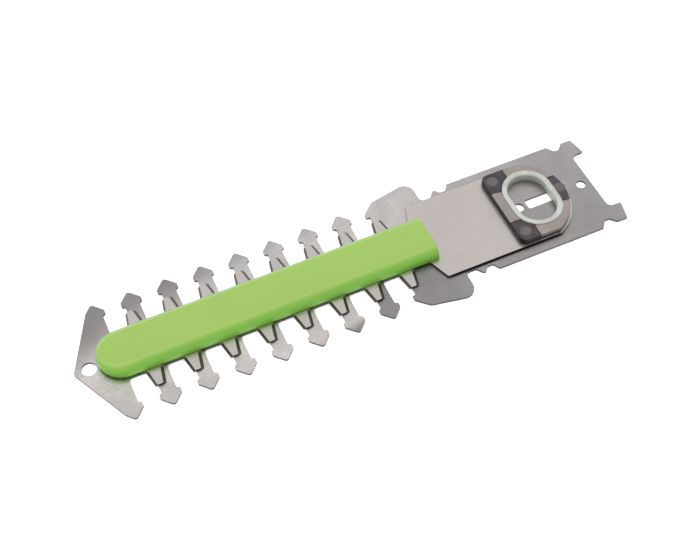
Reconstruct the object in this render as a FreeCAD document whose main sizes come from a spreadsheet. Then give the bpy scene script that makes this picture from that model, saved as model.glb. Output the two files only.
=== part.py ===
import FreeCAD, Part
import math
import os
import re
import Sketcher
from FreeCAD import Vector

# Reciprocating blade cartridge of a shrub trimmer, in millimetres.
#
# Frame: +X runs along the blade from the drive end to the nose, +Z points up through the stack of sheets,
# and the origin is on the underside, on the axis of the rear locating hole.
#
# Stack, from below: comb plate (fixed) - knife plate (slides along X) - backing bar and spine cover (fixed).
# Collars in the knife's slots hold comb and bar apart by the knife's thickness and its running gaps, and
# guide the knife. The drive plate is plug welded on the knife's rear end and holds the oval cam liner.
#
# Every size that can be chosen by itself is one cell of the sheet "Sizes". A formula is written with the
# cells' names, and ref() puts the sheet's name in front of each of them.

SIZES = [
    # toothed length
    ("pitch", 15.0, "from one tooth axis to the next"),
    ("tooth_count", 7, "whole comb teeth on each side"),
    ("last_tooth_x", 83.5, "axis of the tooth position that the end lobes take"),
    ("gullet_radius", 1.2, "comb gullet corners"),
    ("root_overlap", 0.3, "a tooth's outline into its spine, beyond the gullet corner"),
    # comb plate
    ("comb_thick", 1.0, "comb sheet"),
    ("spine_half", 10.2, "half width of the comb between its teeth"),
    ("stem_half", 2.9, "half width of a comb tooth's stem"),
    ("barb_y", 21.3, "underside of the arrow head, from the long axis"),
    ("barb_half", 4.2, "half width of the arrow head"),
    ("tooth_reach", 27.4, "tip of a comb tooth, from the long axis"),
    ("nose_length", 15.2, "nose tip ahead of the nose guard's tooth axis"),
    ("shank_half", 23.75, "half width of the comb's shank"),
    ("lobe_reach", 31.0, "highest point of an end lobe, from the long axis"),
    ("lobe_length", 24.0, "from the lobe's front barb to its rear edge"),
    ("lobe_round", 4.3, "lobe's two rounded rear corners"),
    ("rear_edge", 4.3, "comb's rear edge behind the locating hole"),
    ("ear_length", 5.6, "ears behind the rear edge"),
    ("ear_inner_half", 15.1, "half the distance between the ears"),
    ("locating_radius", 2.0, "rear locating hole"),
    ("hanging_radius", 3.0, "hanging hole in the nose"),
    ("hanging_back", 5.8, "hanging hole behind the nose tip"),
    ("peg_radius", 2.2, "round hole under the cam"),
    ("peg_x", 29.2, "round hole's place"),
    ("window_x", 18.6, "middle of the window under the cam"),
    ("window_length", 14.0, "window along the blade"),
    ("window_half", 2.4, "half the window's width"),
    # knife plate
    ("knife_thick", 1.0, "knife sheet"),
    ("run_gap", 0.05, "above and below the knife"),
    ("tooth_lead", 1.9, "knife teeth ahead of the comb teeth at rest"),
    ("knife_spine_half", 10.3, "half width of the knife between its teeth"),
    ("knife_reach", 18.1, "tip of a knife tooth, from the long axis"),
    ("knife_root_half", 3.6, "half width of a knife tooth at the spine, underside"),
    ("knife_tip_half", 2.15, "half width of a knife tooth at its tip, underside"),
    ("front_bevel", 0.85, "ground bevel of a knife tooth's front edge, in plan"),
    ("rear_bevel", 1.3, "ground bevel of a knife tooth's rear edge, in plan"),
    ("root_radius", 1.5, "knife gullet corners"),
    ("knife_front", 6.0, "knife's front end behind the nose guard's tooth axis"),
    ("shoulder_back", 8.8, "start of the knife's shoulder behind the last tooth axis"),
    ("shoulder_slope", 3.4, "shoulder's length along the blade"),
    ("knife_shank_half", 19.4, "half width of the knife's shank"),
    # drive plate and cam liner
    ("drive_x", 23.3, "middle of the cam liner at rest"),
    ("drive_thick", 2.5, "drive plate"),
    ("drive_half", 18.5, "half width of the drive plate"),
    ("drive_front", 14.6, "drive plate's front edge ahead of the liner"),
    ("drive_corner", 3.0, "drive plate's front corners"),
    ("drive_edge_round", 0.35, "drive plate's top edge"),
    ("arc_x", 28.8, "centre of the rear arc"),
    ("arc_radius", 20.3, "rear arc of the drive plate"),
    ("ledge", 0.9, "knife's rear arc outside the drive plate's"),
    ("liner_radius", 8.15, "round ends of the liner's opening"),
    ("liner_half", 4.0, "from the liner's middle to the centre of a round end"),
    ("liner_wall", 1.7, "liner's wall in the drive plate"),
    ("liner_lip", 0.6, "liner's lip over the drive plate, sideways"),
    ("lip_thick", 0.4, "liner's lip above the drive plate"),
    ("lip_round", 0.25, "liner's outer top edge"),
    ("bore_round", 0.9, "liner's inner top edge"),
    ("liner_foot", 0.7, "liner's foot under the drive plate, sideways"),
    ("liner_gap", 0.05, "around the liner"),
    ("end_play", 0.4, "left at each end of the stroke"),
    ("plug_radius", 1.6, "plug welds"),
    ("plug_recess", 0.1, "plug welds below the drive plate's top"),
    ("plug_x", 34.1, "front plug welds"),
    ("plug_y", 14.2, "front plug welds, from the long axis"),
    ("plug_back", 2.7, "rear plug weld behind the liner's wall"),
    # guides and backing bar
    ("rivet_radius", 1.5, "rivet and screw shanks"),
    ("collar_wall", 1.0, "spacer collars"),
    ("collar_play", 0.07, "between a collar and the sides of its slot"),
    ("rivet_head", 2.6, "radius of the flush and the formed heads"),
    ("flush_depth", 0.8, "depth of a rivet's flush head"),
    ("formed_height", 1.1, "height of a rivet's formed head"),
    ("washer_radius", 3.4, "washers under the formed heads"),
    ("washer_thick", 0.5, "washers"),
    ("bar_thick", 1.5, "backing bar"),
    ("bar_half", 5.5, "half width of the backing bar"),
    ("nose_screw_back", 0.8, "front cover screw behind the nose guard's tooth axis"),
    ("screw_head", 2.9, "radius of a cover screw's flush head"),
    ("screw_depth", 0.9, "depth of a cover screw's flush head"),
    ("drive_recess", 0.95, "screw's hexagon recess, across corners / 2"),
    ("recess_depth", 1.3, "screw's hexagon recess"),
    ("spacer_half", 8.0, "half width of the nose spacer"),
    ("spacer_gap", 0.9, "nose spacer ahead of the knife at full stroke"),
    ("spacer_front", 4.3, "nose spacer ahead of the nose guard's tooth axis"),
    # spine cover
    ("cover_half", 10.3, "half width of the cover"),
    ("cover_height", 5.05, "cover, from its lower edge to its top"),
    ("cover_gap", 0.2, "cover's lower edge above the knife"),
    ("cover_round", 3.4, "cover's rounded top edges"),
    ("cover_nose_back", 4.4, "centre of the cover's round nose behind the nose guard's tooth axis"),
    ("cover_tail", 12.8, "cover's rear end behind the last tooth axis"),
    ("cover_wall", 1.9, "cover's side and rear walls"),
    ("cover_roof", 1.6, "cover's top wall"),
    ("rib_half", 2.0, "half the thickness of the cover's inner ribs"),
    ("boss_radius", 3.2, "rear screw's boss in the cover"),
    ("thread_cover", 0.9, "plastic left above a cover screw's hole"),
    ("tip_space", 0.3, "hole beyond a cover screw's tip"),
    ("bar_fit", 0.1, "around the bar in the cover"),
]

# Places that follow from those sizes.
NOSE_X = "(last_tooth_x + (tooth_count + 1) * pitch)"
HALF_STROKE = "(liner_half - end_play)"
KNIFE_Z = "(comb_thick + run_gap)"
BAR_Z = "(comb_thick + knife_thick + 2 * run_gap)"
DRIVE_Z = "(comb_thick + run_gap + knife_thick)"
BAR_TOP = f"({BAR_Z} + bar_thick)"
COVER_Z = f"({DRIVE_Z} + cover_gap)"
COVER_TOP = f"({COVER_Z} + cover_height)"
COLLAR_RADIUS = "(rivet_radius + collar_wall)"
NOSE_SCREW_X = f"({NOSE_X} - nose_screw_back)"
GUIDE_STEP = "(2 * pitch)"
GUIDES = "floor((tooth_count + 1) / 2)"
ROOT = "(gullet_radius + root_overlap)"

TOUCH = 0.001  # two heights or lengths closer than this are the same

doc = FreeCAD.newDocument("blade_cartridge")


# ---------------------------------------------------------------- helpers

def make_sheet():
    """Put the driving sizes in the sheet: name, value, meaning, with the name as the value's alias."""
    sheet = doc.addObject("Spreadsheet::Sheet", "Sizes")
    for row, (name, value, meaning) in enumerate(SIZES, start=1):
        sheet.set(f"A{row}", name)
        sheet.set(f"B{row}", str(value))
        sheet.set(f"C{row}", meaning)
        sheet.setAlias(f"B{row}", name)
    doc.recompute()
    return sheet


NAMES = {name for name, value, meaning in SIZES}


def ref(formula):
    """The formula with the sheet's name in front of each size."""
    return re.sub(r"[a-z_]+", lambda m: "Sizes." + m.group() if m.group() in NAMES else m.group(), str(formula))


def value(formula):
    """The formula's value now."""
    return float(sheet.evalExpression(ref(formula)))


def bind(thing, **formulas):
    """Bind each named property of the object to a formula."""
    for name, formula in formulas.items():
        thing.setExpression(name.replace("__", "."), ref(formula))
    return thing


def body(name, x="0", y="0", z="0"):
    """A new body, named after its piece, whose own origin lies at x, y, z."""
    piece = doc.addObject("PartDesign::Body", name)
    piece.Label = name
    return bind(piece, Placement__Base__x=x, Placement__Base__y=y, Placement__Base__z=z)


def plane(piece, role):
    """One of the body's own origin planes or axes."""
    return next(item for item in piece.Origin.OriginFeatures if item.Role == role)


def sketch(piece, name, role="XY_Plane", height="0"):
    """A sketch on an origin plane of the body, lifted off it by height."""
    drawn = piece.newObject("Sketcher::SketchObject", name)
    drawn.AttachmentSupport = [(plane(piece, role), "")]
    drawn.MapMode = "FlatFace"
    return bind(drawn, AttachmentOffset__Base__z=height)


def fix(drawn, kind, places, formula):
    """A dimension of the sketch, bound to a formula."""
    index = drawn.addConstraint(Sketcher.Constraint(kind, *places, value(formula)))
    drawn.setExpression(f"Constraints[{index}]", ref(formula))


def locate(drawn, geometry, point, x, y):
    """Dimension one point of the geometry from the sketch's origin."""
    fix(drawn, "DistanceX", (-1, 1, geometry, point), x)
    fix(drawn, "DistanceY", (-1, 1, geometry, point), y)


def circle(drawn, x, y, radius):
    """A circle with its centre and radius dimensioned."""
    shape = Part.Circle(Vector(value(x), value(y), 0), Vector(0, 0, 1), value(radius))
    index = drawn.addGeometry(shape)
    locate(drawn, index, 3, x, y)
    fix(drawn, "Radius", (index,), radius)


def slot(drawn, x, y, half, radius, along="X"):
    """A slot with round ends, whose end centres lie half away from its middle, along X or Y."""
    cx, cy, reach, r = value(x), value(y), value(half), value(radius)
    turn = 0.0 if along == "X" else math.pi / 2
    step = Vector(math.cos(turn), math.sin(turn), 0)
    side = Vector(-step.y, step.x, 0) * r
    first = Vector(cx, cy, 0) + step * reach
    last = Vector(cx, cy, 0) - step * reach
    up = Vector(0, 0, 1)
    ends = [Part.ArcOfCircle(Part.Circle(first, up, r), turn - math.pi / 2, turn + math.pi / 2),
            Part.ArcOfCircle(Part.Circle(last, up, r), turn + math.pi / 2, turn + math.pi * 3 / 2)]
    sides = [Part.LineSegment(first + side, last + side), Part.LineSegment(last - side, first - side)]
    front, back, left, right = drawn.addGeometry(ends + sides)
    drawn.addConstraint([Sketcher.Constraint("Tangent", front, 2, left, 1),
                         Sketcher.Constraint("Tangent", left, 2, back, 1),
                         Sketcher.Constraint("Tangent", back, 2, right, 1),
                         Sketcher.Constraint("Tangent", right, 2, front, 1),
                         Sketcher.Constraint("Equal", front, back)])
    fix(drawn, "Radius", (front,), radius)
    shift = (f"({half})", "0") if along == "X" else ("0", f"({half})")
    locate(drawn, front, 3, f"{x} + {shift[0]}", f"{y} + {shift[1]}")
    locate(drawn, back, 3, f"{x} - {shift[0]}", f"{y} - {shift[1]}")


def toward(start, end, distance):
    """The point at this distance from start on the way to end."""
    way = end - start
    return start + way * (distance / way.Length)


def outline(drawn, corners):
    """A closed outline, counter-clockwise, through corners (x, y), (x, y, radius) or (x, y, "arc", radius).

    A radius rounds the corner between its two straight edges. "arc" makes the edge that leaves the corner
    an arc of that radius, bulging outwards.
    """
    count = len(corners)
    points = [Vector(value(corner[0]), value(corner[1]), 0) for corner in corners]
    rounds = [corner[2] if len(corner) == 3 else None for corner in corners]
    starts, ends, centres = list(points), list(points), {}
    for i, radius in enumerate(rounds):
        if radius is None:
            continue
        back = (points[i - 1] - points[i]).normalize()
        ahead = (points[(i + 1) % count] - points[i]).normalize()
        half_angle = back.getAngle(ahead) / 2
        cut = value(radius) / math.tan(half_angle)
        ends[i] = points[i] + back * cut
        starts[i] = points[i] + ahead * cut
        centres[i] = toward(points[i], (ends[i] + starts[i]) * 0.5, value(radius) / math.sin(half_angle))
    edges = []
    for i in range(count):
        start, end = starts[i], ends[(i + 1) % count]
        if len(corners[i]) == 4:
            edges.append(drawn.addGeometry(bulge(start, end, value(corners[i][3]))))
        else:
            edges.append(drawn.addGeometry(Part.LineSegment(start, end)))
    for i, radius in enumerate(rounds):
        before, after = edges[i - 1], edges[i]
        if radius is None:
            drawn.addConstraint(Sketcher.Constraint("Coincident", before, 2, after, 1))
            locate(drawn, after, 1, *corners[i][:2])
            if len(corners[i]) == 4:
                fix(drawn, "Radius", (after,), corners[i][3])
            continue
        left_turn = (points[i] - points[i - 1]).cross(points[(i + 1) % count] - points[i]).z > 0
        first, second = (ends[i], starts[i]) if left_turn else (starts[i], ends[i])
        arc = drawn.addGeometry(corner_arc(centres[i], first, second, value(radius)))
        mark = drawn.addGeometry(Part.Point(points[i]), True)
        entry, leave = (1, 2) if left_turn else (2, 1)
        drawn.addConstraint([Sketcher.Constraint("Tangent", before, 2, arc, entry),
                             Sketcher.Constraint("Tangent", arc, leave, after, 1),
                             Sketcher.Constraint("PointOnObject", mark, 1, before),
                             Sketcher.Constraint("PointOnObject", mark, 1, after)])
        locate(drawn, mark, 1, *corners[i][:2])
        fix(drawn, "Radius", (arc,), radius)


def corner_arc(centre, start, end, radius):
    """The arc from start to end, counter-clockwise about centre."""
    angles = [math.atan2(point.y - centre.y, point.x - centre.x) for point in (start, end)]
    return Part.ArcOfCircle(Part.Circle(centre, Vector(0, 0, 1), radius), *angles)


def bulge(start, end, radius):
    """The shorter arc from start to end that bulges to the right of the way there."""
    middle = (start + end) * 0.5
    way = end - start
    inward = Vector(-way.y, way.x, 0).normalize()
    centre = middle + inward * math.sqrt(radius ** 2 - (way.Length / 2) ** 2)
    return corner_arc(centre, start, end, radius)


def both_sides(upper):
    """The upper half's corners, then their mirror images in the long axis on the way back."""
    lower = [(corner[0], f"-({corner[1]})") + tuple(corner[2:]) for corner in reversed(upper)]
    return upper + [corner[:2] if len(corner) == 4 else corner for corner in lower]


def pad(piece, drawn, length, name):
    feature = piece.newObject("PartDesign::Pad", name)
    feature.Profile = drawn
    return bind(feature, Length=length)


def through(piece, drawn, name):
    """Cut the sketch right through the body, both ways."""
    feature = piece.newObject("PartDesign::Pocket", name)
    feature.Profile = drawn
    feature.Type = "ThroughAll"
    feature.Midplane = True
    return feature


def pocket_up(piece, drawn, depth, name):
    """Cut the sketch upwards into the body."""
    feature = piece.newObject("PartDesign::Pocket", name)
    feature.Profile = drawn
    feature.Reversed = True
    return bind(feature, Length=depth)


def repeat(piece, original, step, count, name, backwards=False):
    """Repeat a feature along the blade."""
    pattern = piece.newObject("PartDesign::LinearPattern", name)
    pattern.Originals = [original]
    pattern.Direction = (plane(piece, "X_Axis"), [""])
    pattern.Reversed = backwards
    pattern.Mode = "Spacing"
    bind(pattern, Offset=step, Occurrences=count)
    piece.Tip = pattern
    return pattern


def mirror(piece, originals, name):
    """Mirror features in the blade's long axis."""
    feature = piece.newObject("PartDesign::Mirrored", name)
    feature.Originals = originals
    feature.MirrorPlane = (plane(piece, "XZ_Plane"), [""])
    piece.Tip = feature
    return feature


def cone_cut(piece, name, x, mouth, waist, depth):
    """A countersink in the body's underside."""
    cut = piece.newObject("PartDesign::SubtractiveCone", name)
    return bind(cut, Radius1=mouth, Radius2=waist, Height=depth, Placement__Base__x=x)


def turned(name, x, z, profile):
    """A body turned about a vertical axis at x, from the outline of its right half."""
    piece = body(name, x=x, z=z)
    drawn = sketch(piece, f"{name}_profile", role="XZ_Plane")
    outline(drawn, profile)
    feature = piece.newObject("PartDesign::Revolution", f"{name}_turned")
    feature.Profile = drawn
    feature.ReferenceAxis = (drawn, ["V_Axis"])
    feature.Angle = 360
    return piece


def tube(name, x, z, outer, inner, height):
    """A plain tube standing on z at x: a cylinder with a cylinder cut out of it."""
    parts = []
    for tag, radius in (("outside", outer), ("hole", inner)):
        solid = doc.addObject("Part::Cylinder", f"{name}_{tag}")
        parts.append(bind(solid, Radius=radius, Height=height, Placement__Base__x=x, Placement__Base__z=z))
    cut = doc.addObject("Part::Cut", name)
    cut.Base, cut.Tool = parts
    cut.Label = name
    return cut


def soften(piece, size, name, chosen):
    """Round the body's edges that chosen picks."""
    doc.recompute()
    base = piece.Tip
    edges = [f"Edge{i}" for i, edge in enumerate(base.Shape.Edges, start=1) if chosen(edge)]
    feature = piece.newObject("PartDesign::Fillet", name)
    feature.Base = (base, edges)
    return bind(feature, Radius=size)


def level(edge, height):
    """Whether the whole edge lies at this height."""
    return all(abs(vertex.Z - height) < TOUCH for vertex in edge.Vertexes)


def reach(edge):
    """How far the edge reaches from the body's origin along X, either way."""
    return max(abs(vertex.X) for vertex in edge.Vertexes)


# ---------------------------------------------------------------- comb plate

def nose_corners():
    """Upper half of the nose guard, from the rounded tip to its gullet and back along the axis."""
    stem = f"({NOSE_X} - stem_half)"
    inside = f"{stem} - {ROOT}"
    return [
        (f"{NOSE_X} + nose_length", "0"),
        (f"{NOSE_X} + nose_length", "0.45", 0.9),
        (f"{NOSE_X} + 3.1", "tooth_reach - 2.7", 0.8),
        (NOSE_X, "tooth_reach + 0.7", 1.2),
        (f"{NOSE_X} - barb_half", "tooth_reach - 3.7", 0.6),
        (f"{NOSE_X} - barb_half", "barb_y + 0.5", 0.4),
        (stem, "barb_y"),
        (stem, "spine_half", "gullet_radius"),
        (inside, "spine_half"),
        (inside, "0"),
    ]


def shank_corners():
    """Upper half of the end lobe and the shank, from the last gullet to the rear edge and back."""
    stem = "(last_tooth_x + stem_half)"
    lobe_front = "(last_tooth_x + barb_half + 0.3)"
    lobe_rear = f"({lobe_front} - lobe_length)"
    ear_end = "-(rear_edge + ear_length)"
    inside = f"{stem} + {ROOT}"
    return [
        (inside, "0"),
        (inside, "spine_half"),
        (stem, "spine_half", "gullet_radius"),
        (stem, "barb_y"),
        (lobe_front, "barb_y", 0.3),
        (lobe_front, "lobe_reach - 7.6", 0.8),
        (f"{lobe_front} - 5.0", "lobe_reach - 2.9", 3.0),
        (f"{lobe_rear} + 3.4", "lobe_reach + 0.1", "lobe_round"),
        (lobe_rear, "lobe_reach - 2.7", "lobe_round"),
        # two notches with a small tooth between them
        (lobe_rear, "shank_half - 3.55", 1.6),
        (f"{lobe_rear} - 4.5", "shank_half - 3.55", 1.0),
        (f"{lobe_rear} - 6.6", "shank_half - 0.85", 0.4),
        (f"{lobe_rear} - 7.7", "shank_half - 0.85", 0.4),
        (f"{lobe_rear} - 9.2", "shank_half - 2.85", 1.0),
        (f"{lobe_rear} - 11.7", "shank_half - 2.85", 1.0),
        (f"{lobe_rear} - 13.4", "shank_half", 0.8),
        # notch beside the locating hole
        ("3.2", "shank_half", 0.6),
        ("0.9", "shank_half - 3.2", 1.0),
        ("-1.2", "shank_half - 3.2", 1.0),
        ("-3.6", "shank_half - 0.6", 0.6),
        # ear
        (f"{ear_end} + 1.7", "shank_half - 0.6", 0.5),
        (ear_end, "ear_inner_half", 0.5),
        ("-rear_edge", "ear_inner_half", 2.4),
        ("-rear_edge", "0"),
    ]


def comb_tooth_corners(x):
    """Upper half of a comb tooth about x: flared root, stem and arrow head with a blunt tip."""
    side = [
        (f"stem_half + {ROOT}", "spine_half"),
        ("stem_half", "spine_half", "gullet_radius"),
        ("stem_half", "barb_y"),
        ("barb_half", "barb_y + 0.5", 0.4),
        ("barb_half", "tooth_reach - 3.7", 0.6),
    ]
    tip = [(x, "tooth_reach + 0.7", 1.2)]
    return about(x, side, side, tip)


def about(x, front, rear, tip=()):
    """A tooth's corners: up its front side, over the tip, down its rear side. Both sides are given from x."""
    up = [(f"{x} + ({corner[0]})",) + tuple(corner[1:]) for corner in front]
    down = [(f"{x} - ({corner[0]})",) + tuple(corner[1:]) for corner in reversed(rear)]
    return up + list(tip) + down


def make_comb_plate():
    comb = body("comb_plate")
    spine = sketch(comb, "comb_spine_outline")
    outline(spine, both_sides([(NOSE_X, "spine_half"), ("last_tooth_x", "spine_half")]))
    pad(comb, spine, "comb_thick", "comb_spine")
    halves = []
    for name, corners in (("nose_guard", nose_corners()), ("shank", shank_corners())):
        half = sketch(comb, f"{name}_outline")
        outline(half, corners)
        halves.append(pad(comb, half, "comb_thick", f"{name}_half"))
    mirror(comb, halves, "comb_other_half")

    teeth = sketch(comb, "comb_tooth_outline")
    outline(teeth, both_sides(comb_tooth_corners("(last_tooth_x + pitch)")))
    tooth_pair = pad(comb, teeth, "comb_thick", "comb_tooth_pair")
    repeat(comb, tooth_pair, "pitch", "tooth_count", "comb_teeth")

    holes = sketch(comb, "comb_holes")
    circle(holes, "0", "0", "locating_radius")
    circle(holes, f"{NOSE_X} + nose_length - hanging_back", "0", "hanging_radius")
    circle(holes, "peg_x", "0", "peg_radius")
    circle(holes, NOSE_SCREW_X, "0", "rivet_radius")
    circle(holes, "last_tooth_x", "0", "rivet_radius")
    ahead, behind = "window_x + window_length / 2", "window_x - window_length / 2"
    outline(holes, both_sides([(ahead, "window_half", 0.8), (behind, "window_half", 0.8)]))
    through(comb, holes, "comb_holes_cut")

    guide = sketch(comb, "comb_rivet_hole")
    circle(guide, f"last_tooth_x + {GUIDE_STEP}", "0", "rivet_radius")
    cut = through(comb, guide, "comb_rivet_hole_cut")
    repeat(comb, cut, GUIDE_STEP, f"{GUIDES} - 1", "comb_rivet_holes")
    sink = cone_cut(comb, "rivet_sink", f"last_tooth_x + {GUIDE_STEP}", "rivet_head", "rivet_radius", "flush_depth")
    repeat(comb, sink, GUIDE_STEP, f"{GUIDES} - 1", "rivet_sinks")
    for name, x in (("rear_screw_sink", "last_tooth_x"), ("nose_screw_sink", NOSE_SCREW_X)):
        cone_cut(comb, name, x, "screw_head", "rivet_radius", "screw_depth")
    return comb


# ---------------------------------------------------------------- knife, drive plate, liner

def knife_tooth_corners(x, front_inset, rear_inset):
    """Upper half of a knife tooth about x, drawn in by an inset on each of its ground flanks."""
    front, rear = ([
        ("knife_root_half + root_radius + root_overlap", "knife_spine_half"),
        (f"knife_root_half - {inset}", "knife_spine_half", "root_radius"),
        (f"knife_tip_half - {inset}", "knife_reach", 0.5),
    ] for inset in (front_inset, rear_inset))
    return about(x, front, rear)


def rear_arc_start(radius, half):
    """Where a rear arc of this radius meets the straight side."""
    return f"arc_x - sqrt(({radius})^2 - {half}^2)"


def make_knife_plate():
    knife = body("knife_plate", z=KNIFE_Z)
    shoulder = "(last_tooth_x - shoulder_back)"
    tongue = "(arc_radius + ledge)"
    blank = sketch(knife, "knife_outline")
    outline(blank, both_sides([
        (f"{NOSE_X} - knife_front", "knife_spine_half", 2.5),
        (shoulder, "knife_spine_half", 1.0),
        (f"{shoulder} - shoulder_slope", "knife_shank_half", 0.8),
        (rear_arc_start(tongue, "knife_shank_half"), "knife_shank_half", "arc", tongue),
    ]))
    pad(knife, blank, "knife_thick", "knife_blank")

    first = "(last_tooth_x + tooth_lead)"
    lower = sketch(knife, "knife_tooth_underside")
    outline(lower, both_sides(knife_tooth_corners(first, "0", "0")))
    upper = sketch(knife, "knife_tooth_top", height="knife_thick")
    outline(upper, both_sides(knife_tooth_corners(first, "front_bevel", "rear_bevel")))
    tooth_pair = knife.newObject("PartDesign::AdditiveLoft", "knife_tooth_pair")
    tooth_pair.Profile = lower
    tooth_pair.Sections = [upper]
    tooth_pair.Ruled = True
    repeat(knife, tooth_pair, "pitch", "tooth_count + 1", "knife_teeth")

    guide = sketch(knife, "guide_slot")
    slot(guide, first, "0", f"{HALF_STROKE} + end_play", f"{COLLAR_RADIUS} + collar_play")
    cut = through(knife, guide, "guide_slot_cut")
    repeat(knife, cut, GUIDE_STEP, GUIDES, "guide_slots")

    opening = sketch(knife, "liner_opening")
    slot(opening, "drive_x", "0", "liner_half", "liner_radius + liner_wall + liner_foot + liner_gap", along="Y")
    through(knife, opening, "liner_opening_cut")
    return knife


PLUGS = [("plug_x", "plug_y"), ("plug_x", "-plug_y"), ("drive_x - liner_radius - liner_wall - plug_back", "0")]


def make_drive_plate():
    plate = body("drive_plate", z=DRIVE_Z)
    blank = sketch(plate, "drive_outline")
    outline(blank, both_sides([
        ("drive_x + drive_front", "drive_half", "drive_corner"),
        (rear_arc_start("arc_radius", "drive_half"), "drive_half", "arc", "arc_radius"),
    ]))
    pad(plate, blank, "drive_thick", "drive_blank")
    top = value("drive_thick")
    soften(plate, "drive_edge_round", "drive_edge", lambda edge: level(edge, top))
    cuts = sketch(plate, "drive_openings")
    slot(cuts, "drive_x", "0", "liner_half", "liner_radius + liner_wall + liner_gap", along="Y")
    for x, y in PLUGS:
        circle(cuts, x, y, "plug_radius")
    through(plate, cuts, "drive_openings_cut")
    return plate


def make_plug_welds():
    """Weld metal that fills the drive plate's three holes down to the knife."""
    plugs = []
    for number, (x, y) in enumerate(PLUGS, start=1):
        plug = doc.addObject("Part::Cylinder", f"plug_weld_{number}")
        plug.Label = f"plug_weld_{number}"
        bind(plug, Radius="plug_radius", Height="drive_thick - plug_recess")
        plugs.append(bind(plug, Placement__Base__x=x, Placement__Base__y=y, Placement__Base__z=DRIVE_Z))
    return plugs


def make_cam_liner():
    """Oval liner that grips the drive plate between its lip and its foot."""
    base = "(comb_thick + 2 * run_gap)"
    wall = "(liner_radius + liner_wall)"
    under_plate = f"({DRIVE_Z} - {base})"
    lip_base = f"({under_plate} + drive_thick)"
    liner = body("cam_liner", x="drive_x", z=base)
    for name, radius, height, length in (("foot", f"{wall} + liner_foot", "0", under_plate),
                                         ("wall", wall, "0", f"{lip_base} + lip_thick"),
                                         ("lip", f"{wall} + liner_lip", lip_base, "lip_thick")):
        drawn = sketch(liner, f"liner_{name}_outline", height=height)
        slot(drawn, "0", "0", "liner_half", radius, along="Y")
        pad(liner, drawn, length, f"liner_{name}")
    bore = sketch(liner, "liner_bore")
    slot(bore, "0", "0", "liner_half", "liner_radius", along="Y")
    through(liner, bore, "liner_bore_cut")
    top, mouth = value(f"{lip_base} + lip_thick"), value("liner_radius") + TOUCH
    soften(liner, "lip_round", "liner_rim", lambda edge: level(edge, top) and reach(edge) > mouth)
    soften(liner, "bore_round", "liner_mouth", lambda edge: level(edge, top) and reach(edge) < mouth)
    return liner


# ---------------------------------------------------------------- guides, backing bar, nose spacer

def guide_places():
    """Each guide rivet's place along the blade, from the rear."""
    return [f"last_tooth_x + {number} * {GUIDE_STEP}" for number in range(1, round(value(GUIDES)))]


def make_backing_bar():
    bar = body("backing_bar", z=BAR_Z)
    strip = sketch(bar, "bar_outline")
    slot(strip, f"(last_tooth_x + {NOSE_SCREW_X}) / 2", "0", f"({NOSE_SCREW_X} - last_tooth_x) / 2", "bar_half")
    pad(bar, strip, "bar_thick", "bar_strip")
    holes = sketch(bar, "bar_holes")
    for x in ["last_tooth_x", NOSE_SCREW_X] + guide_places():
        circle(holes, x, "0", "rivet_radius")
    through(bar, holes, "bar_holes_cut")
    return bar


def make_nose_spacer():
    """Fills the knife's level ahead of the knife's furthest reach."""
    spacer = body("nose_spacer", z="comb_thick")
    rear = f"{NOSE_X} - knife_front + {HALF_STROKE} - tooth_lead + spacer_gap"
    shape = sketch(spacer, "spacer_outline")
    outline(shape, both_sides([(f"{NOSE_X} + spacer_front", "spacer_half", 6.2), (rear, "spacer_half", 0.5)]))
    pad(spacer, shape, "knife_thick + 2 * run_gap", "spacer_sheet")
    hole = sketch(spacer, "spacer_hole")
    circle(hole, NOSE_SCREW_X, "0", "rivet_radius")
    through(spacer, hole, "spacer_hole_cut")
    return spacer


def make_guide(number, x):
    """Rivet, collar and washer of one guide."""
    seat = f"({BAR_TOP} + washer_thick)"
    crown = f"({seat} + formed_height)"
    rivet = turned(f"guide_rivet_{number}", x, "0", [
        ("0", "0"),
        ("rivet_head", "0"),
        ("rivet_radius", "flush_depth"),
        ("rivet_radius", seat),
        ("rivet_head", seat, "arc", "(rivet_head^2 + formed_height^2) / (2 * formed_height)"),
        ("0", crown),
    ])
    collar = make_collar(number, x)
    washer = tube(f"rivet_washer_{number}", x, BAR_TOP, "washer_radius", "rivet_radius", "washer_thick")
    return [rivet, collar, washer]


def make_collar(number, x):
    """Collar that keeps comb and bar apart and guides the knife's slot."""
    return tube(f"spacer_collar_{number}", x, "comb_thick", COLLAR_RADIUS, "rivet_radius", f"{BAR_Z} - comb_thick")


def make_cover_screw(name, x):
    """Flush screw from the underside into the cover, with a hexagon recess."""
    tip = f"({COVER_TOP} - thread_cover - tip_space)"
    screw = turned(name, x, "0", [
        ("0", "0"),
        ("screw_head", "0"),
        ("rivet_radius", "screw_depth"),
        ("rivet_radius", f"{tip} - 0.9"),
        ("0.6", tip),
        ("0", tip),
    ])
    recess = sketch(screw, f"{name}_recess")
    turns = [60 * side for side in range(6)]
    outline(recess, [(f"drive_recess * cos({turn})", f"drive_recess * sin({turn})") for turn in turns])
    pocket_up(screw, recess, "recess_depth", f"{name}_recess_cut")
    return screw


# ---------------------------------------------------------------- spine cover

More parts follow.
